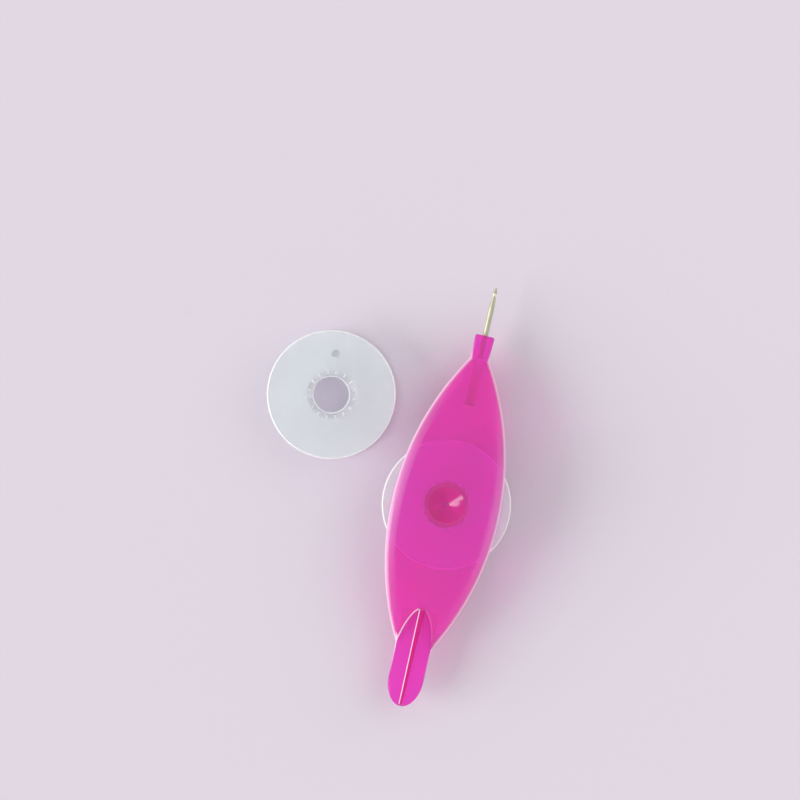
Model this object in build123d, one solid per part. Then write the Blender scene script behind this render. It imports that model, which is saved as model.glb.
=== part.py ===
from build123d import *
import math
import os

# Tatting shuttle with a bobbin in it and a spare bobbin beside it, in millimetres
# The bobbin axis is Z through the origin, the hook points along +Y, and z = 0 is the
# surface that the shuttle and the spare bobbin lie on
# Two moulded halves, each a bowed leaf-shaped blade with half of the nose and half of
# the winding post, are welded on the parting plane, with a steel hook between them

# Bobbin
bobbin_radius = 12.7
bobbin_width = 7.5
bobbin_bore_radius = 3.5
hub_wall = 1.3
flange_wall = 0.8
flange_edge_chamfer = 0.25
bore_chamfer = 0.2
spigot_height = 0.9
spigot_wall = 0.65
thread_hole_radius = 0.8
thread_hole_place = 8.1
spare_hole_angle = 97.0
loaded_hole_angle = 225.0

# Click notches, cut as a V into the outer face of each flange
notch_count = 16
notch_start = 4.15
notch_end = 4.8
notch_depth = 0.2

# Place of the spare bobbin on the table
spare_x = -26.9
spare_y = 16.0

# Blades, seen from above as a leaf of two arcs and from the side as two bows
leaf_half_width = 10.7
leaf_half_length = 33.2
leaf_setback = 1.1
blade_wall = 1.4
bow_meeting_setback = 0.8
edge_chamfer_share = 0.53
edge_ease_share = 0.4

# Clearances of the bobbin between the blades
rim_clearance = 0.3
face_clearance = 0.1
pivot_clearance = 0.08

# Pivot stud inside each blade, with its dimple outside
stud_radius = 4.4
nib_reach = 4.75
nib_count = 4
pivot_height = 1.3
pivot_land = 0.4
pivot_tip_radius = 2.6
dimple_radius = 3.65
dimple_floor_radius = 0.7
dimple_depth = 1.8

# Nose that holds the hook
nose_half_width = 1.9
nose_half_height = 1.35
nose_length = 4.8
nose_overlap = 0.35
nose_chamfer = 0.55
nose_end_chamfer = 0.2
web_width = 1.75
web_length = 9.4

# Winding post, a plus of a flat tongue and an upright fin
post_root_half = 3.66
post_end_half = 3.48
post_taper_length = 6.6
post_tip_length = 5.6
tongue_half_thickness = 0.65
fin_root_thickness = 1.1
fin_tip_thickness = 0.7
post_edge_chamfer = 0.2
post_relief = 0.1

# Crochet hook
hook_radius = 0.55
hook_seat_depth = 4.6
hook_shank_length = 5.7
hook_taper_length = 2.35
neck_radius = 0.36
head_radius = 0.43
head_length = 1.4
barb_share = 0.35
tip_radius = 0.22
throat_depth_share = 0.85
throat_rise_share = 0.25
throat_length_share = 0.8

# Sizes that follow from those above
bobbin_half = bobbin_width / 2
hub_radius = bobbin_bore_radius + hub_wall
plan_radius = (leaf_half_length**2 + leaf_half_width**2) / (2 * leaf_half_width)


def sagitta(radius, half_chord):
    return radius - math.sqrt(radius**2 - half_chord**2)


def half_chord(radius, depth):
    return math.sqrt(2 * radius * depth - depth**2)


def outline_reach(half_width):
    """Distance from the leaf's widest place to where it is this half-width."""
    return half_chord(plan_radius, leaf_half_width - half_width)


leaf_nose_end = outline_reach(nose_half_width) - leaf_setback
leaf_tail_end = -outline_reach(post_root_half) - leaf_setback

# The inner face of a blade is the arc that clears the rim of the bobbin and comes down to
# the parting plane just inside the nose, its centre as far beyond that plane as bow_drop
rim_height = bobbin_half + rim_clearance
meeting_reach = leaf_nose_end - bow_meeting_setback
bow_drop = (meeting_reach**2 - bobbin_radius**2 - rim_height**2) / (2 * rim_height)
inner_bow_radius = math.hypot(meeting_reach, bow_drop)
bow_radius = inner_bow_radius + blade_wall
inner_half_height = inner_bow_radius - bow_drop
leaf_half_height = bow_radius - bow_drop
parting_height = leaf_half_height

nose_end = leaf_nose_end + nose_length
post_root = leaf_tail_end
post_start = -half_chord(bow_radius, leaf_half_height - post_root_half)
post_tip_start = post_root - post_taper_length
post_end = post_tip_start - post_tip_length
stud_face = bobbin_half + face_clearance


def on_parting(shape):
    return Pos(0, 0, parting_height) * shape


def bow(radius):
    """Solid cylinder across the shuttle whose top is one bowed face."""
    return Pos(0, 0, -bow_drop) * Rot(0, 90, 0) * Cylinder(radius, 2 * (leaf_half_width + bobbin_radius))


def leaf_blank():
    """Upper half of the leaf as a solid under its bow, with the long edges rolled in three facets."""
    tail_tip = (0, -leaf_setback - leaf_half_length)
    nose_tip = (0, -leaf_setback + leaf_half_length)
    right = ThreePointArc(tail_tip, (leaf_half_width, -leaf_setback), nose_tip)
    left = ThreePointArc(nose_tip, (-leaf_half_width, -leaf_setback), tail_tip)
    leaf = extrude(make_face([right, left]), leaf_half_height)
    length = leaf_nose_end - leaf_tail_end
    middle = (leaf_nose_end + leaf_tail_end) / 2
    leaf &= Pos(0, middle, leaf_half_height / 2) * Box(2 * leaf_half_width, length, leaf_half_height)
    leaf &= bow(bow_radius)
    end_height = leaf_half_height - sagitta(bow_radius, max(leaf_nose_end, -leaf_tail_end))
    edge_chamfer = edge_chamfer_share * min(blade_wall, end_height)
    for cut in (edge_chamfer, edge_ease_share * edge_chamfer):
        long_edges = [
            edge
            for edge in leaf.edges()
            if edge.length > leaf_half_length and edge.center().Z > end_height / 2
        ]
        leaf = chamfer(long_edges, cut)
    return leaf


def blade():
    """Leaf blank hollowed out to one wall under its bow."""
    return leaf_blank() - bow(inner_bow_radius)


def pivot_stud():
    """Collar with click nibs, a coned pivot that enters the bobbin's bore, and no dimple yet."""
    collar_height = inner_half_height - stud_face + blade_wall / 2
    nibs = RegularPolygon(nib_reach, nib_count)
    collar = extrude(Pos(0, 0, stud_face) * (Circle(stud_radius) + nibs), collar_height)
    land = bobbin_bore_radius - pivot_clearance
    pivot_top = stud_face - pivot_height
    profile = make_face(
        Polyline(
            (0, stud_face + blade_wall / 2),
            (land, stud_face + blade_wall / 2),
            (land, stud_face - pivot_land),
            (pivot_tip_radius, pivot_top),
            (0, pivot_top),
            close=True,
        )
    )
    return collar + revolve(Plane.XZ * profile, Axis.Z)


def dimple():
    """Shallow cone in the outside of a stud, with a small flat floor."""
    slope = (dimple_radius - dimple_floor_radius) / dimple_depth
    profile = make_face(
        Polyline(
            (0, leaf_half_height - dimple_depth),
            (dimple_floor_radius, leaf_half_height - dimple_depth),
            (dimple_radius + slope * dimple_depth, leaf_half_height + dimple_depth),
            (0, leaf_half_height + dimple_depth),
            close=True,
        )
    )
    return revolve(Plane.XZ * profile, Axis.Z)


def nose():
    """Half of the faceted nose and of the web that runs back from it between the blades."""
    start = leaf_nose_end - nose_overlap
    length = nose_end - start
    block = Pos(0, start + length / 2, 0) * Box(2 * nose_half_width, length, 2 * nose_half_height)
    block = chamfer(block.edges().filter_by(Axis.Y), nose_chamfer)
    block = chamfer(block.faces().sort_by(Axis.Y)[-1].edges(), nose_end_chamfer)
    web = Pos(0, leaf_nose_end - web_length / 2, 0) * Box(web_width, web_length, 2 * leaf_half_height)
    return block + (web & bow(bow_radius - blade_wall / 2))


def post_outline():
    """Outline of the tongue, and of the fin turned upright: straight, then tapered, with an oval end."""
    sides = make_face(
        Polyline(
            (-post_root_half, post_start),
            (post_root_half, post_start),
            (post_root_half, post_root),
            (post_end_half, post_tip_start),
            (-post_end_half, post_tip_start),
            (-post_root_half, post_root),
            close=True,
        )
    )
    return sides + Pos(0, post_tip_start) * Ellipse(post_end_half, post_tip_length)


def winding_post():
    """Both halves of the plus-shaped post, which starts where its fin comes out of the blades."""
    tongue = extrude(post_outline(), tongue_half_thickness, both=True)
    flat_edges = tongue.edges().filter_by(lambda edge: abs(edge.center().Z) > tongue_half_thickness / 2)
    tongue = chamfer(flat_edges.filter_by(lambda edge: edge.center().Y < post_start), post_edge_chamfer)
    fin = Rot(0, 90, 0) * extrude(post_outline(), fin_root_thickness / 2, both=True)
    # The fin thins out evenly from its start between the blades to the tip of the post
    thinning = make_face(
        Polyline(
            (-fin_root_thickness / 2, post_start),
            (fin_root_thickness / 2, post_start),
            (fin_tip_thickness / 2, post_end),
            (-fin_tip_thickness / 2, post_end),
            close=True,
        )
    )
    fin &= extrude(thinning, leaf_half_height, both=True)
    rim_edges = [edge for edge in fin.edges() if abs(edge.center().X) > fin_tip_thickness / 4]
    rim_edges = [edge for edge in rim_edges if edge.center().Y < post_start]
    return tongue + chamfer(rim_edges, post_edge_chamfer)


def arch_point(height, side=1):
    """Plan place where the bow, at this height, meets a round bar with relief about the post."""
    half = math.sqrt(max((post_root_half + post_relief) ** 2 - height**2, 0))
    return (side * half, -half_chord(bow_radius, leaf_half_height - height))


def post_room():
    """Arched room with upright walls about the fin, cut out of the blades down into the tongue."""
    top = post_root_half + post_relief
    foot = leaf_half_height - sagitta(bow_radius, -post_root)
    shoulder = (foot + 3 * top) / 4
    waist = (foot + shoulder) / 2
    arch = [
        ThreePointArc(arch_point(foot), arch_point(waist), arch_point(shoulder)),
        ThreePointArc(arch_point(shoulder), arch_point(top), arch_point(shoulder, -1)),
        ThreePointArc(arch_point(shoulder, -1), arch_point(waist, -1), arch_point(foot, -1)),
        Polyline(arch_point(foot, -1), (-top, post_end), (top, post_end), arch_point(foot)),
    ]
    floor = tongue_half_thickness - post_relief
    return Pos(0, 0, floor) * extrude(make_face(arch), leaf_half_height)


def crochet_hook():
    """Turned shank with a tapered neck and a rounded head that has its throat to one side."""
    seat = nose_end - hook_seat_depth
    neck = nose_end + hook_shank_length + hook_taper_length
    barb = neck + barb_share * head_length
    head = neck + head_length
    tip = head + tip_radius
    profile = make_face(
        [
            Polyline(
                (0, seat),
                (hook_radius, seat),
                (hook_radius, nose_end + hook_shank_length),
                (neck_radius, neck),
                (head_radius, barb),
                (tip_radius, head),
            ),
            CenterArc((0, head), tip_radius, 0, 90),
            Line((0, tip), (0, seat)),
        ]
    )
    body = revolve(profile, Axis.Y)
    throat_length = throat_length_share * head_length
    deepest = (neck_radius - throat_depth_share * neck_radius, barb - throat_rise_share * head_radius)
    throat = make_face(
        Polyline(
            (2 * head_radius, barb + throat_rise_share * head_radius),
            deepest,
            (deepest[0], deepest[1] - throat_length / 3),
            (2 * head_radius, deepest[1] - throat_length),
            close=True,
        )
    )
    return body - extrude(throat, hook_radius, both=True)


def upper_half(hook):
    """The half above the parting plane, drawn with that plane at z = 0."""
    half = blade() - post_room() + nose() + winding_post() + pivot_stud()
    half -= dimple()
    half -= hook
    room = 2 * (leaf_half_length + post_taper_length + post_tip_length)
    return half & Pos(0, 0, leaf_half_height) * Box(room, room, 2 * leaf_half_height)


def bobbin_half_shell(spigot):
    """Flange with half of the hub above it, its flange down and its weld face at the top."""
    # The lower half's hub ends in a spigot, the upper half's in the socket for it
    spigot_end = bobbin_half + (spigot_height if spigot else -spigot_height)
    spigot_radius = bobbin_bore_radius + spigot_wall
    profile = make_face(
        Polyline(
            (bobbin_bore_radius + bore_chamfer, 0),
            (bobbin_radius - flange_edge_chamfer, 0),
            (bobbin_radius, flange_edge_chamfer),
            (bobbin_radius, flange_wall),
            (hub_radius, flange_wall),
            (hub_radius, bobbin_half),
            (spigot_radius, bobbin_half),
            (spigot_radius, spigot_end),
            (bobbin_bore_radius, spigot_end),
            (bobbin_bore_radius, bore_chamfer),
            close=True,
        )
    )
    shell = revolve(Plane.XZ * profile, Axis.Z)
    notch_side = math.sqrt(2) * notch_depth
    notch = Rot(45, 0, 0) * Box(notch_end - notch_start, notch_side, notch_side)
    notch = Pos((notch_start + notch_end) / 2, 0, 0) * notch
    return shell - PolarLocations(0, notch_count) * notch


def bobbin(hole_angle):
    """Lower and upper half of one bobbin, standing on z = 0, with the thread hole in its upper flange."""
    hole_place = Rot(0, 0, hole_angle) * Pos(thread_hole_place, 0, 0)
    hole = hole_place * Pos(0, 0, bobbin_width) * Cylinder(thread_hole_radius, bobbin_width)
    lower = bobbin_half_shell(spigot=True)
    upper = Pos(0, 0, bobbin_width) * Rot(180, 0, 0) * bobbin_half_shell(spigot=False) - hole
    return lower, upper


hook = crochet_hook()
half = upper_half(hook)
lower_loaded, upper_loaded = bobbin(loaded_hole_angle)
lower_spare, upper_spare = bobbin(spare_hole_angle)
loaded_place = Pos(0, 0, parting_height - bobbin_half)
spare_place = Pos(spare_x, spare_y, 0)

nodes = {
    "upper_blade": on_parting(half),
    "lower_blade": on_parting(Rot(0, 180, 0) * half),
    "crochet_hook": on_parting(hook),
    "bobbin_lower_half": loaded_place * lower_loaded,
    "bobbin_upper_half": loaded_place * upper_loaded,
    "spare_bobbin_lower_half": spare_place * lower_spare,
    "spare_bobbin_upper_half": spare_place * upper_spare,
}

os.makedirs("parts", exist_ok=True)
for name, shape in nodes.items():
    export_step(shape, f"parts/{name}.step")
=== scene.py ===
import math

import bmesh
import bpy
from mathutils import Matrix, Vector


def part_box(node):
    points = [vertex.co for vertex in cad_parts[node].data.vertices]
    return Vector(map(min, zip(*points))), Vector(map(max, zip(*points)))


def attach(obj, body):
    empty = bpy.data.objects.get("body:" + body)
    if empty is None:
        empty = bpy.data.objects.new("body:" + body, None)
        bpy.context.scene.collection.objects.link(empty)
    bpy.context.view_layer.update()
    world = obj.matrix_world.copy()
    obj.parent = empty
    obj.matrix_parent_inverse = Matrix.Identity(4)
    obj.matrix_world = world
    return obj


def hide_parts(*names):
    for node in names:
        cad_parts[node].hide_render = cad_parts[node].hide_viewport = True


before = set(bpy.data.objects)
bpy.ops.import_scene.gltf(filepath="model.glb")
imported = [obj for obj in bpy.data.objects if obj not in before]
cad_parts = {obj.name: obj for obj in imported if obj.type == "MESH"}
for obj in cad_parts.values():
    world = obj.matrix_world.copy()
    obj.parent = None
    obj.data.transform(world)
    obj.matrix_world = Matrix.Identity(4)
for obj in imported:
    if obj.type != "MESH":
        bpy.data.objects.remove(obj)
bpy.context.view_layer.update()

# Shuttle body: two mouldings of transparent magenta plastic, each a bowed leaf-shaped blade with
# half of the nose, half of the plus-shaped winding post and one pivot stud. They are welded where
# they meet, at the nose and at the post, and look like one piece. Lengths are in millimetres.
mm = 0.001
body_low, body_high = [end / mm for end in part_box("upper_blade")]
parting = body_low.z
body_half_height = body_high.z - body_low.z
leaf_half_width = body_high.x
leaf_half_length = 33.2
leaf_setback = 1.1
blade_wall = 1.4
bow_radius = 84.66
bow_drop = bow_radius - body_half_height
plan_radius = (leaf_half_length**2 + leaf_half_width**2) / (2 * leaf_half_width)


def shell(name, rings, looped=False):
    """Closed mesh piece over rings of points that have the same count, given in millimetres."""
    build = bmesh.new()
    rows = [[build.verts.new(Vector(point) * mm) for point in ring] for ring in rings]
    pairs = list(zip(rows, rows[1:])) + ([(rows[-1], rows[0])] if looped else [])
    for low, high in pairs:
        for i in range(len(low)):
            build.faces.new((low[i - 1], low[i], high[i], high[i - 1]))
    if not looped:
        build.faces.new(rows[0])
        build.faces.new(rows[-1])
    bmesh.ops.recalc_face_normals(build, faces=build.faces)
    mesh = bpy.data.meshes.new(name)
    build.to_mesh(mesh)
    build.free()
    piece = bpy.data.objects.new(name, mesh)
    bpy.context.scene.collection.objects.link(piece)
    return piece


def settle(piece):
    """The modifiers of a piece become part of its mesh."""
    bpy.context.view_layer.update()
    graph = bpy.context.evaluated_depsgraph_get()
    piece.data = bpy.data.meshes.new_from_object(piece.evaluated_get(graph))
    piece.modifiers.clear()


def combine(piece, operation, tool):
    """A piece joined with, or cut by, another closed mesh, which is used up."""
    step = piece.modifiers.new(operation, "BOOLEAN")
    step.operation, step.solver, step.object = operation, "EXACT", tool
    settle(piece)
    bpy.data.objects.remove(tool)


def polish(piece, sharpest=32):
    """Shades a piece smooth, except at edges that turn by more than this many degrees."""
    piece.data.polygons.foreach_set("use_smooth", [True] * len(piece.data.polygons))
    piece.data.set_sharp_from_angle(angle=math.radians(sharpest))


def mark_light(piece, glow):
    """Stores at each face corner a painted highlight, above 0, or a painted shade, below 0, for the
    plastic there.
    """
    mark = piece.data.attributes.new("painted_light_and_shade", "FLOAT", "CORNER")
    for face in piece.data.polygons:
        for corner_index, vertex_index in zip(face.loop_indices, face.vertices):
            place = piece.data.vertices[vertex_index].co / mm
            mark.data[corner_index].value = glow(*place, face.normal)


def bow_height(radius, y):
    """Height of a bow of this radius over the parting plane."""
    return math.sqrt(radius**2 - y**2) - bow_drop


def bow_reach(height):
    """Distance from the middle at which the outside of a blade is this high."""
    return math.sqrt(bow_radius**2 - (bow_drop + height) ** 2)


def leaf_half(y):
    """Half width of the leaf at y."""
    return leaf_half_width - plan_radius + math.sqrt(plan_radius**2 - (y + leaf_setback) ** 2)


def leaf_reach(half_width):
    """Distance from the leaf's widest place to where it is this half-width."""
    return math.sqrt(plan_radius**2 - (plan_radius - leaf_half_width + half_width) ** 2)


def corner(x, z, radius, start, steps=6):
    """Quarter turn of an edge about (x, z), from the angle start on, in degrees."""
    angles = [math.radians(start + 90 * i / steps) for i in range(steps + 1)]
    return [(x + radius * math.cos(angle), z + radius * math.sin(angle)) for angle in angles]


def spread(first, last, count):
    """Numbers from first to last, with this many even steps."""
    return [first + (last - first) * i / count for i in range(count + 1)]


nose_half_width = 1.9
nose_half_height = 1.35
nose_length = 4.8
nose_end = body_high.y
leaf_nose_end = nose_end - nose_length
post_root_half = 3.66
post_root = -leaf_reach(post_root_half) - leaf_setback
edge_roll = 1.05
edge_roll_share = 0.75
edge_ease = 0.22
edge_support = 0.12
edge_band = 1.2
edge_band_share = 0.8
least_slit = 0.02


def blade_section(y):
    """Half width, outer and inner height, roll of the edge and width of the band beside it."""
    half = leaf_half(y)
    outer = bow_height(bow_radius, y)
    inner = max(bow_height(bow_radius - blade_wall, y), least_slit)
    roll = min(edge_roll, edge_roll_share * (outer - inner))
    return half, outer, inner, roll, min(edge_band, edge_band_share * (half - roll - edge_support))


def blade_ring(y, side):
    """Cross-section of one blade at y, its outer edges rolled and its inner ones eased."""
    half, outer, inner, roll, band = blade_section(y)
    right = [(half - edge_ease - edge_support, inner)]
    right += corner(half - edge_ease, inner + edge_ease, edge_ease, -90)
    right += corner(half - roll, outer - roll, roll, 0)
    right += [(half - roll - edge_support, outer), (half - roll - edge_support - band, outer)]
    loop = right + [(-x, z) for x, z in reversed(right)]
    return [(x, y, parting + side * z) for x, z in loop]


blade_steps = 116
body = shell("shuttle_body", [blade_ring(y, 1) for y in spread(post_root, leaf_nose_end, blade_steps)])
lower = shell("lower", [blade_ring(y, -1) for y in spread(post_root, leaf_nose_end, blade_steps)])
combine(body, "UNION", lower)

# The blades end in an arch round the post's fin, with upright walls down to its flat tongue
post_start = -bow_reach(post_root_half)
post_end = body_low.y
post_end_half = 3.48
post_tip_length = 5.6
post_tip_start = post_end + post_tip_length
post_relief = 0.1
tongue_half = 0.65
post_seat = 0.15
arch_radius = post_root_half + post_relief
arch_foot_depth = 0.2
arch_tip_gap = 0.001
arch_steps = 40
arch_ease = 0.3
arch_overrun = 0.02
arch_foot = bow_height(bow_radius, post_root) - arch_foot_depth
arch_right = [(arch_radius, post_end)]
for height in spread(arch_foot, arch_radius - arch_tip_gap, arch_steps):
    arch_right.append((math.sqrt(arch_radius**2 - height**2), -bow_reach(height)))
arch = arch_right + [(-x, y) for x, y in reversed(arch_right)]
wider = [(x * (1 + arch_ease / arch_radius), y + arch_ease * (y > post_end)) for x, y in arch]
tops = [bow_height(bow_radius, max(y, post_root)) for x, y in arch]
room_levels = (
    (arch, [tongue_half - post_relief] * len(arch)),
    (arch, [max(top - arch_ease, tongue_half) for top in tops]),
    (wider, [max(top, tongue_half) + arch_overrun for top in tops]),
    (wider, [body_half_height] * len(arch)),
)
for side in (1, -1):
    post_room = []
    for plan, heights in room_levels:
        post_room.append([(x, y, parting + side * z) for (x, y), z in zip(plan, heights)])
    combine(body, "DIFFERENCE", shell("post_room", post_room))

post_blade_start = post_start + post_seat
post_tip_steps = 24
post_round = 0.22
post_round_steps = 4
fin_root_half, fin_tip_half = 0.55, 0.35


def fin_half(y):
    """Half thickness of the fin at y."""
    share = (y - post_start) / (post_end - post_start)
    return fin_root_half + (fin_tip_half - fin_root_half) * min(max(share, 0), 1)


def post_outline(inset):
    """Right half of the outline of the tongue, and of the fin turned upright, inset evenly."""
    side = [(post_root_half - inset, post_blade_start), (post_root_half - inset, post_root)]
    for turn in spread(0, math.pi / 2, post_tip_steps):
        y = post_tip_start - (post_tip_length - inset) * math.sin(turn)
        side.append(((post_end_half - inset) * math.cos(turn), y))
    return side


def post_rings(half_thickness, upright):
    """Rings through a plate with rounded rims: the tongue, or upright, the fin."""
    rim = []
    for turn in spread(0, math.pi / 2, post_round_steps):
        rim.append((post_round * (1 - math.cos(turn)), post_round * math.sin(turn) - post_round))
    levels = [(inset, 1, depth) for inset, depth in reversed(rim)]
    levels += [(inset, -1, depth) for inset, depth in rim]
    rings = []
    for inset, side, depth in levels:
        right = post_outline(inset)
        ring = []
        for x, y in right + [(-x, y) for x, y in reversed(right[:-1])]:
            level = side * (half_thickness(y) + depth)
            ring.append((level, y, parting + x) if upright else (x, y, parting + level))
        rings.append(ring)
    return rings


combine(body, "UNION", shell("tongue", post_rings(lambda y: tongue_half, upright=False)))
combine(body, "UNION", shell("fin", post_rings(fin_half, upright=True)))

# Faceted nose with the hole that the hook is pressed into, and the web behind it
nose_facet = 0.55
nose_end_ease = 0.2
nose_overlap = 0.35
web_half = 0.875
web_length = 9.4
web_steps = 12
hook_seat_depth = 4.6
hook_hole_radius = 0.57
hook_hole_steps = 32


def nose_ring(y, inset):
    """Cross-section of the nose, a rectangle with flattened corners, inset evenly."""
    wide, high = nose_half_width - inset, nose_half_height - inset
    flat = [(wide, high - nose_facet), (wide - nose_facet, high)]
    loop = flat + [(-x, z) for x, z in reversed(flat)]
    loop += [(-x, -z) for x, z in flat] + [(x, -z) for x, z in reversed(flat)]
    return [(x, y, parting + z) for x, z in loop]


def web_ring(y):
    """Cross-section of the web, from the middle of one blade's wall to the other's."""
    high = bow_height(bow_radius - blade_wall / 2, y)
    loop = [(web_half, high), (-web_half, high), (-web_half, -high), (web_half, -high)]
    return [(x, y, parting + z) for x, z in loop]


def hook_hole_ring(y):
    """Circle round the hook's axis at y."""
    ring = []
    for turn in spread(0, 2 * math.pi, hook_hole_steps)[1:]:
        ring.append((hook_hole_radius * math.cos(turn), y, parting + hook_hole_radius * math.sin(turn)))
    return ring


web_places = spread(leaf_nose_end - web_length, leaf_nose_end, web_steps)
combine(body, "UNION", shell("web", [web_ring(y) for y in web_places]))
nose = [nose_ring(leaf_nose_end - nose_overlap, 0), nose_ring(nose_end - nose_end_ease, 0)]
combine(body, "UNION", shell("nose", nose + [nose_ring(nose_end, nose_end_ease)]))
hook_hole = [hook_hole_ring(y) for y in (nose_end - hook_seat_depth, nose_end + nose_overlap)]
combine(body, "DIFFERENCE", shell("hook_hole", hook_hole))

# Pivot studs with four click nibs, each hollowed by a dimple that keeps the wall even
stud_face = 3.85
stud_radius = 4.4
nib_reach = 4.75
pivot_radius = 3.42
pivot_land = 0.4
pivot_height = 1.3
pivot_tip_radius = 2.6
dimple_radius = 3.65
dimple_floor_radius = 0.7
dimple_depth = 1.8
dimple_round = 1.6
dimple_round_start = 0.05
dimple_round_steps = 14
gate_radius = 0.35
gate_height = 0.15
turn_step = 2
turns = [math.radians(degree) for degree in range(0, 360, turn_step)]
coarse_turns = turns[::6]


def collar_reach(turn):
    """The collar is a circle with the corners of a square standing out of it."""
    off_corner = abs((turn + math.pi / 4) % (math.pi / 2) - math.pi / 4)
    return max(stud_radius, nib_reach * math.cos(math.pi / 4) / math.cos(math.pi / 4 - off_corner))


def bowl_profile():
    """Section of the dimple from its middle outwards: a round floor, then one steady slope. The
    slope is that of the solid's dimple, and the round floor lies a little deeper than its flat one."""
    slope = math.atan2(dimple_depth, dimple_radius - dimple_floor_radius)
    floor = []
    for turn in spread(dimple_round_start, slope, dimple_round_steps):
        floor.append((dimple_round * math.sin(turn), dimple_round * (1 - math.cos(turn))))
    reach, height = floor[-1]
    rise = (dimple_radius - reach) * math.tan(slope)
    profile = [(x, z + body_half_height - height - rise) for x, z in floor]
    profile.append((dimple_radius, body_half_height))
    profile.append((2 * dimple_radius - reach, body_half_height + rise))
    return profile


def level_ring(reach, z, ring_turns):
    """Ring about the bobbin's axis. Its reach is a length, or a rule that gives it for a turn."""
    ring = []
    for turn in ring_turns:
        far = reach(turn) if callable(reach) else reach
        ring.append((far * math.cos(turn), far * math.sin(turn), z))
    return ring


stud_levels = (
    (collar_reach, stud_face + blade_wall),
    (collar_reach, stud_face),
    (pivot_radius, stud_face),
    (pivot_radius, stud_face - pivot_land),
    (pivot_tip_radius, stud_face - pivot_height),
)
dimple_floor = bowl_profile()[0][1]
gate_levels = (dimple_floor - gate_height, dimple_floor + gate_height)
for side in (1, -1):
    stud = [level_ring(reach, parting + side * level, turns) for reach, level in stud_levels]
    combine(body, "UNION", shell("stud", stud))
    bowl = [level_ring(reach, parting + side * level, turns) for reach, level in bowl_profile()]
    combine(body, "DIFFERENCE", shell("bowl", bowl))
    gate = [level_ring(gate_radius, parting + side * level, coarse_turns) for level in gate_levels]
    combine(body, "UNION", shell("gate", gate))
polish(body)

# Marks of painted highlights, above 0, and of painted shade, below 0. A face's rise is how far its
# normal points up or down, from 0 to 1, and its turn is how far it points to the side, or along the
# shuttle
touch = 0.01
upright_rise, arch_rise, dimple_rise = 0.3, 0.9, 0.95
outline_turn = 0.1
fin_side_turn = 0.95
seat_wall_turn = 0.5
# Strengths and widths of the painted highlights, above 0, and of the painted shade, below 0
glow_width = 0.65
blade_side_glow = 0.12
band_glow_left, band_glow_right = 0.4, 0.25
arch_glow_left, arch_glow_right = 1.0, 0.1
arch_glow_margin = 0.1
fin_glow, fin_shade, fin_glow_width = 1.0, -0.9, 0.15
fin_glow_lift = 0.5
collar_shade, dimple_shade, seat_shade = -1.0, -0.5, -0.8


def stud_light(reach, lift, rise, outwards):
    """Painted shade on a stud's collar and on the slope of its dimple."""
    if rise < upright_rise and reach > stud_radius - touch:
        return collar_shade
    if lift < stud_face + touch and reach > pivot_radius - touch:
        return collar_shade
    in_dimple = rise < dimple_rise and outwards and reach < dimple_radius + touch
    return dimple_shade if in_dimple else 0.0


def on_arch_rim(x, y, lift, rise):
    """Whether a place is on the eased rim of the arch."""
    arch_top = -bow_reach(arch_radius) + arch_ease + arch_glow_margin
    if not post_root < y < arch_top or abs(x) <= fin_root_half + touch:
        return False
    top = bow_height(bow_radius, y)
    arch_half = math.sqrt(max(arch_radius**2 - top**2, 0))
    high_enough = lift > top - arch_ease - arch_glow_margin
    return high_enough and abs(x) < arch_half + 2 * arch_ease and rise < arch_rise


def leaf_light(x, y, lift, normal, outwards):
    """Painted highlight on the leaf's outline, and a softer one on the band beside it, stronger on the
    left and fading lengthwise.
    """
    half, outer, inner, roll, band = blade_section(y)
    glow = max(1 - (half - abs(x)) / glow_width, 0) if abs(normal.x) > outline_turn else 0.0
    fade = 1 - abs(y) / leaf_nose_end
    if fade > 0 and outwards and lift > (outer + inner) / 2:
        soft = (band_glow_left if x < 0 else band_glow_right) * fade
        glow = max(glow, soft * (1 - (half - abs(x)) / (roll + edge_support + band)))
    return glow * blade_side_glow if abs(normal.z) < upright_rise else glow


def body_light(x, y, z, normal):
    """Painted highlight, above 0, or painted shade, below 0, of the magenta plastic at a place of the
    body.
    """
    lift = abs(z - parting)
    rise = abs(normal.z)
    reach = math.hypot(x, y)
    outwards = normal.z * (z - parting) > 0
    # Painted shade on the wall of the hole that the hook sits in
    if y > nose_end - hook_seat_depth - touch and math.hypot(x, lift) < hook_hole_radius + touch:
        return seat_shade if abs(normal.y) < seat_wall_turn else 0.0
    if reach < nib_reach + touch:
        return stud_light(reach, lift, rise, outwards)
    # Painted highlight on the eased rim of the arch, strong on the left side and faint on the right
    if on_arch_rim(x, y, lift, rise):
        return arch_glow_left if x < 0 else arch_glow_right
    # Painted highlight along the left top edge of the fin, and painted shade over the rest of its top
    on_fin = y < post_blade_start + touch and abs(x) < fin_root_half + touch
    if on_fin and lift > tongue_half + fin_glow_lift:
        if abs(normal.x) >= fin_side_turn:
            return 0.0
        return fin_glow if x < fin_glow_width - fin_half(y) else fin_shade
    return leaf_light(x, y, lift, normal, outwards) if post_root < y < leaf_nose_end else 0.0


# Painted highlights and painted shade over the body
mark_light(body, body_light)


class Wire:
    """An output of a shader node that can stand in sums."""

    def __init__(self, paint, socket):
        self.paint, self.socket = paint, socket

    def maths(self, operation, first, second):
        """The output of a Math node on two values."""
        return self.paint.add("ShaderNodeMath", {"operation": operation}, {0: first, 1: second})

    def __add__(self, other):
        return self.maths("ADD", self, other)

    def __mul__(self, other):
        return self.maths("MULTIPLY", self, other)

    __radd__ = __add__
    __rmul__ = __mul__


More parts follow.
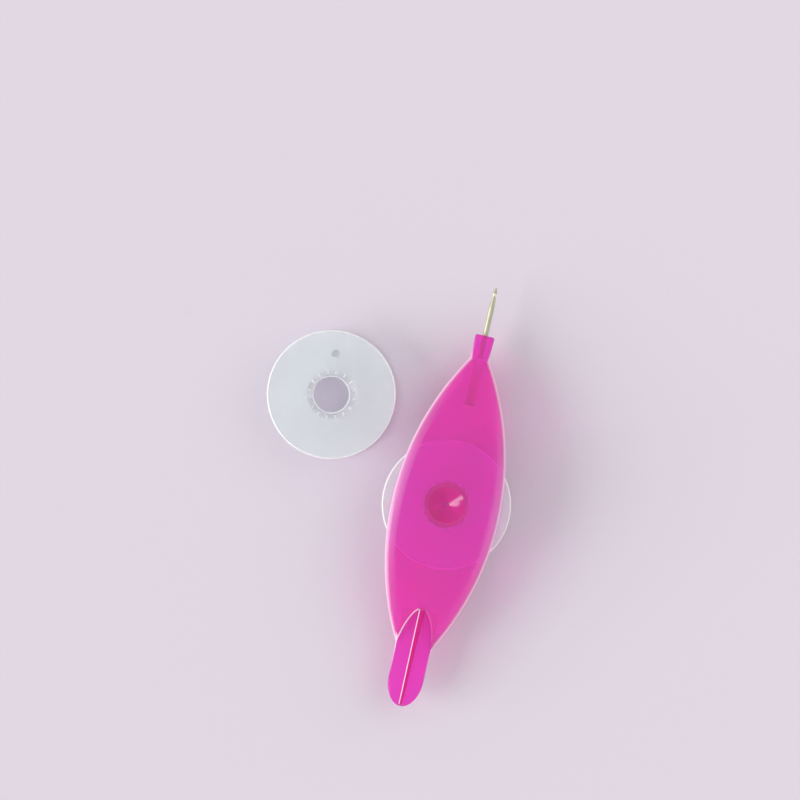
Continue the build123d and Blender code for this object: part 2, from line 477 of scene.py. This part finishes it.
class Paint:
    """A node material under construction."""

    def __init__(self, name):
        self.material = bpy.data.materials.new(name)
        self.material.use_nodes = True
        self.tree = self.material.node_tree
        self.tree.nodes.clear()

    def add(self, kind, settings, sockets, out=0):
        """A node with its settings made first and its sockets set or linked next."""
        node = self.tree.nodes.new(kind)
        for key, value in settings.items():
            setattr(node, key, value)
        for key, value in sockets.items():
            if isinstance(value, Wire):
                self.tree.links.new(value.socket, node.inputs[key])
            else:
                node.inputs[key].default_value = value
        return Wire(self, node.outputs[out])

    def noise(self, grain, detail=2, stretch=(1, 1, 1), rough=0.5):
        """Soft noise from 0 to 1 whose grain is this many millimetres long."""
        here = self.add("ShaderNodeTexCoord", {}, {}, "Object")
        scale = [1 / (grain * mm * share) for share in stretch]
        here = self.add("ShaderNodeMapping", {}, {"Vector": here, "Scale": scale})
        sockets = {"Vector": here, "Scale": 1, "Detail": detail, "Roughness": rough}
        return self.add("ShaderNodeTexNoise", {}, sockets)

    def blend(self, share, first, second):
        """A colour between two others, through the Mix node's colour sockets 6, 7 and 2."""
        return self.add("ShaderNodeMix", {"data_type": "RGBA"}, {0: share, 6: first, 7: second}, 2)

    def bump(self, height, depth):
        """A normal that follows a height of this many millimetres."""
        return self.add("ShaderNodeBump", {}, {"Height": height, "Distance": depth * mm})

    def finish(self, sockets, volume=None, light=None, painted_shade=None):
        """Ends the material in one Principled surface, or mixes in a lit copy as painted highlight and
        a shaded copy as painted shade, by the marks.
        """
        surface = self.add("ShaderNodeBsdfPrincipled", {}, sockets)
        # A lit copy for painted highlights and a shaded copy for painted shade, each mixed in by the
        # marks
        for sign, changes in ((1, light), (-1, painted_shade)):
            if changes:
                mark = self.add("ShaderNodeAttribute", {"attribute_name": "painted_light_and_shade"}, {}, "Fac")
                second = self.add("ShaderNodeBsdfPrincipled", {}, {**sockets, **changes})
                surface = self.add("ShaderNodeMixShader", {}, {0: mark * sign, 1: surface, 2: second})
        end = self.tree.nodes.new("ShaderNodeOutputMaterial")
        self.tree.links.new(surface.socket, end.inputs["Surface"])
        if volume:
            self.tree.links.new(volume.socket, end.inputs["Volume"])

    def coat(self, piece):
        """Gives a piece this material and no other."""
        piece.data.materials.clear()
        piece.data.materials.append(self.material)


plastic_ior = 1.49
magenta_dark, magenta_pale = (1.0, 0.11, 0.81, 1), (1.0, 0.14, 0.87, 1)
magenta_depth, magenta_density = (0.985, 0.2, 0.84, 1), 900.0
# Colours of the painted highlights and of the painted shade on the magenta plastic
magenta_light, magenta_shade = (1.0, 0.82, 0.95, 1), (0.75, 0.0, 0.28, 1)

paint = Paint("magenta_plastic")
paint.finish(
    {
        "Base Color": paint.blend(paint.noise(grain=9, detail=3), magenta_dark, magenta_pale),
        "Roughness": paint.noise(grain=2.5, detail=3) * 0.08 + 0.05,
        "Normal": paint.bump(paint.noise(grain=1.6), depth=0.006),
        "IOR": plastic_ior,
        "Transmission Weight": 0.75,
    },
    volume=paint.add(
        "ShaderNodeVolumeAbsorption", {}, {"Color": magenta_depth, "Density": magenta_density}
    ),
    # Lit copy for painted highlights, shaded copy for painted shade
    light={"Base Color": magenta_light, "Transmission Weight": 0.1},
    painted_shade={"Base Color": magenta_shade, "Transmission Weight": 0.3},
)
paint.coat(body)
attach(body, "shuttle")
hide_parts("upper_blade", "lower_blade")


# Crochet hook: a short piece of drawn steel wire, turned down to a neck and a rounded head with
# a throat filed into its side, and pressed into the nose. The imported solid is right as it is.
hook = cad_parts["crochet_hook"]
steel_dark, steel_pale = (0.60, 0.60, 0.42, 1), (0.74, 0.74, 0.56, 1)

paint = Paint("hook_steel")
brushing = paint.noise(grain=0.06, detail=4, stretch=(1, 60, 1), rough=0.7)
paint.finish(
    {
        "Base Color": paint.blend(paint.noise(grain=1.8, detail=3), steel_dark, steel_pale),
        "Metallic": 1.0,
        "Roughness": brushing * 0.25 + 0.34,
        "Normal": paint.bump(brushing, depth=0.004),
    }
)
paint.coat(hook)


# Bobbins: a spool of milky, slightly bluish plastic in two halves that are welded at the middle
# of the hub, with a thread hole in the upper flange and sixteen click notches round the bore
# in each face. One turns on the pivots of the blades and a spare one lies beside the shuttle.
bore_radius = 3.5
flange_wall = 0.8
hub_wall = 1.3
flange_round = 0.3
foot_round = 0.5
bore_ease = 0.2
seam_depth = 0.05
thread_hole_radius = 0.8
thread_hole_place = 8.1
thread_hole_turns = {"bobbin": 225, "spare_bobbin": 97}
notch_start, notch_end = 4.15, 4.8
notch_depth = 0.2
notch_count = 16


def spool_profile(radius, width):
    """Right half of the section through a bobbin, as (distance from its axis, height)."""
    hub = bore_radius + hub_wall
    half = width / 2
    rim = corner(radius - flange_round, half - flange_round, flange_round, 0)
    inner_rim = corner(radius - flange_round, half - flange_wall + flange_round, flange_round, -90)
    foot = corner(hub + foot_round, half - flange_wall - foot_round, foot_round, 90)
    upper = [(bore_radius, 0), (bore_radius, half - bore_ease), (bore_radius + bore_ease, half)]
    upper += [(radius - flange_round - edge_support, half)] + rim[::-1] + inner_rim[::-1]
    upper += [(radius - flange_round - edge_support, half - flange_wall)]
    upper += foot + [(hub, seam_depth), (hub - seam_depth, 0)]
    lower = [(x, -z) for x, z in reversed(upper)]
    return upper + lower[1:-1]


def notch_tree():
    """Geometry nodes that cut a ring of V-shaped notches into both faces of a spool."""
    tree = bpy.data.node_groups.new("click_notches", "GeometryNodeTree")
    kinds = {"Spool": "Geometry", "Plastic": "Material", "Count": "Int"}
    kinds.update(dict.fromkeys(("Place", "Length", "Side", "Bottom", "Top"), "Float"))
    sockets = {}
    for name, kind in kinds.items():
        socket_type = f"NodeSocket{kind}"
        sockets[name] = tree.interface.new_socket(name, in_out="INPUT", socket_type=socket_type)
    tree.interface.new_socket("Spool", in_out="OUTPUT", socket_type="NodeSocketGeometry")
    given = tree.nodes.new("NodeGroupInput").outputs

    def node(kind, settings, **links):
        """First output of a new node, after its settings are made and its sockets set or linked."""
        made = tree.nodes.new(kind)
        for key, value in settings.items():
            setattr(made, key, value)
        for key, value in links.items():
            if isinstance(value, bpy.types.NodeSocket):
                tree.links.new(value, made.inputs[key])
            else:
                made.inputs[key].default_value = value
        return made.outputs[0]

    size = node("ShaderNodeCombineXYZ", {}, X=given["Length"], Y=given["Side"], Z=given["Side"])
    bar = node("GeometryNodeMeshCube", {}, Size=size)
    bar = node("GeometryNodeTransform", {}, Geometry=bar, Rotation=(math.pi / 4, 0, 0))
    ring = node("GeometryNodeMeshCircle", {}, Vertices=given["Count"], Radius=given["Place"])
    both = tree.nodes.new("GeometryNodeJoinGeometry")
    for height in ("Bottom", "Top"):
        lift = node("ShaderNodeCombineXYZ", {}, Z=given[height])
        level = node("GeometryNodeTransform", {}, Geometry=ring, Translation=lift)
        tree.links.new(level, both.inputs[0])
    spot = node("GeometryNodeInputPosition", {})
    flat = node("ShaderNodeVectorMath", {"operation": "MULTIPLY"}, Vector=spot)
    flat.node.inputs[1].default_value = (1, 1, 0)
    facing = node("FunctionNodeAlignRotationToVector", {"axis": "X"}, Vector=flat)
    places = both.outputs[0]
    bars = node("GeometryNodeInstanceOnPoints", {}, Points=places, Instance=bar, Rotation=facing)
    bars = node("GeometryNodeRealizeInstances", {}, Geometry=bars)
    cut = node("GeometryNodeMeshBoolean", {"operation": "DIFFERENCE", "solver": "EXACT"})
    tree.links.new(given["Spool"], cut.node.inputs["Mesh 1"])
    tree.links.new(bars, cut.node.inputs["Mesh 2"])
    done = node("GeometryNodeSetMaterial", {}, Geometry=cut, Material=given["Plastic"])
    tree.links.new(done, tree.nodes.new("NodeGroupOutput").inputs[0])
    return tree, {name: socket.identifier for name, socket in sockets.items()}


# Painted highlights on a spool's rims, thread hole walls and notches
glow_margin = 0.05
notch_rises = (0.5, 0.9)
notch_glow, hole_glow, side_glow = 0.45, 0.9, 0.4


def spool_light(radius):
    """Rule for a spool of this radius: painted highlights on its rims, the walls of its thread hole and
    its notches.
    """

    def light(x, y, z, normal):
        reach = math.hypot(x, y)
        rise = abs(normal.z)
        if reach < notch_end + glow_margin and notch_rises[0] < rise < notch_rises[1]:
            return notch_glow
        upright = rise < upright_rise
        if upright and z > 0 and abs(reach - thread_hole_place) < thread_hole_radius + glow_margin:
            return hole_glow
        glow = min(max(2 - (radius - reach) / flange_round * 2, 0), 1)
        return glow * side_glow if upright else glow

    return light


milk_dark, milk_pale = (0.92, 0.95, 0.97, 1), (0.96, 0.98, 0.99, 1)
# Colour of the painted highlights on the milky plastic
milk_light = (1.0, 1.0, 1.0, 1)

paint = Paint("milky_plastic")
paint.finish(
    {
        "Base Color": paint.blend(paint.noise(grain=6, detail=3), milk_dark, milk_pale),
        "Roughness": paint.noise(grain=3, detail=3) * 0.06 + 0.22,
        "Normal": paint.bump(paint.noise(grain=0.9), depth=0.004),
        "IOR": plastic_ior,
        "Transmission Weight": 0.72,
    },
    # Lit copy for the painted highlights
    light={"Base Color": milk_light, "Transmission Weight": 0.1},
)
notches, notch_sockets = notch_tree()

for name, body_name in (("bobbin", "loaded_bobbin"), ("spare_bobbin", "spare_bobbin")):
    low, high = [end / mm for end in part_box(f"{name}_lower_half")]
    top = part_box(f"{name}_upper_half")[1].z / mm
    radius = (high.x - low.x) / 2
    width = top - low.z
    profile = spool_profile(radius, width)
    rings = [[(x * math.cos(turn), x * math.sin(turn), z) for x, z in profile] for turn in turns]
    spool = shell(name, rings, looped=True)
    hole_angle = math.radians(thread_hole_turns[name])
    hole_x = thread_hole_place * math.cos(hole_angle)
    hole_y = thread_hole_place * math.sin(hole_angle)
    thread_hole = []
    for level in (0, width):
        ring = level_ring(thread_hole_radius, level, coarse_turns)
        thread_hole.append([(hole_x + x, hole_y + y, z) for x, y, z in ring])
    combine(spool, "DIFFERENCE", shell("thread_hole", thread_hole))
    cutter = spool.modifiers.new("notches", "NODES")
    cutter.node_group = notches
    values = {
        "Plastic": paint.material,
        "Count": notch_count,
        "Place": (notch_start + notch_end) / 2 * mm,
        "Length": (notch_end - notch_start) * mm,
        "Side": notch_depth * math.sqrt(2) * mm,
        "Bottom": -width / 2 * mm,
        "Top": width / 2 * mm,
    }
    for key, value in values.items():
        cutter[notch_sockets[key]] = value
    settle(spool)
    polish(spool)
    # Painted highlights over the spool
    mark_light(spool, spool_light(radius))
    centre = Vector(((low.x + high.x) / 2, (low.y + high.y) / 2, (top + low.z) / 2))
    for vertex in spool.data.vertices:
        vertex.co += centre * mm
    paint.coat(spool)
    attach(spool, body_name)
    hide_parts(f"{name}_lower_half", f"{name}_upper_half")


# Table: a plain, pale table top just under the object. It isn't part of the object.
table_drop = 0.03
table_reach = 1500
table_thickness = 5
table_colour = (0.70, 0.64, 0.72, 1)
table_rings = []
for level in (-table_thickness, -table_drop):
    corners = ((-1, -1), (1, -1), (1, 1), (-1, 1))
    table_rings.append([(x * table_reach, y * table_reach, level) for x, y in corners])
table = shell("table", table_rings)
paint = Paint("table_top")
paint.finish({"Base Color": table_colour, "Roughness": 0.85, "Specular IOR Level": 0.2})
paint.coat(table)


# Light: a soft white room and two broad, distant lights, the stronger one low from the left.
room_strength = 0.63
scene = bpy.context.scene
scene.view_settings.view_transform = "Standard"
room = bpy.data.worlds.new("room")
scene.world = room
room.use_nodes = True
room.node_tree.nodes["Background"].inputs["Color"].default_value = (1, 1, 1, 1)
room.node_tree.nodes["Background"].inputs["Strength"].default_value = room_strength
for name, place, breadth, power, glossy in (
    ("key", (-950, -430, 560), 40, 1.95, True),
    ("fill", (700, 500, 900), 55, 0.62, False),
):
    lamp = bpy.data.objects.new(name, bpy.data.lights.new(name, "SUN"))
    lamp.data.angle = math.radians(breadth)
    lamp.data.energy = power
    lamp.location = Vector(place) * mm
    lamp.rotation_euler = (-lamp.location).to_track_quat("-Z", "Y").to_euler()
    lamp.visible_glossy = glossy
    scene.collection.objects.link(lamp)
scene.cycles.blur_glossy = 0
scene.cycles.max_bounces = 40
scene.cycles.diffuse_bounces = 16
scene.cycles.glossy_bounces = 32
scene.cycles.transmission_bounces = 32


# Camera: straight above, far away, turned so that the shuttle leans to the right as photographed.
pixel = 0.197
photo_pixels = 800
camera_height = 1200
sight_height = 6
look_x, look_y = -13.5, 18.0
lean = 13.0
camera = bpy.data.objects.new("camera", bpy.data.cameras.new("camera"))
camera.data.lens = camera.data.sensor_width * (camera_height - sight_height) / (photo_pixels * pixel)
camera.data.clip_start = 0.01
camera.location = Vector((look_x, look_y, camera_height)) * mm
camera.rotation_euler = (0, 0, math.radians(lean))
scene.collection.objects.link(camera)
scene.camera = camera
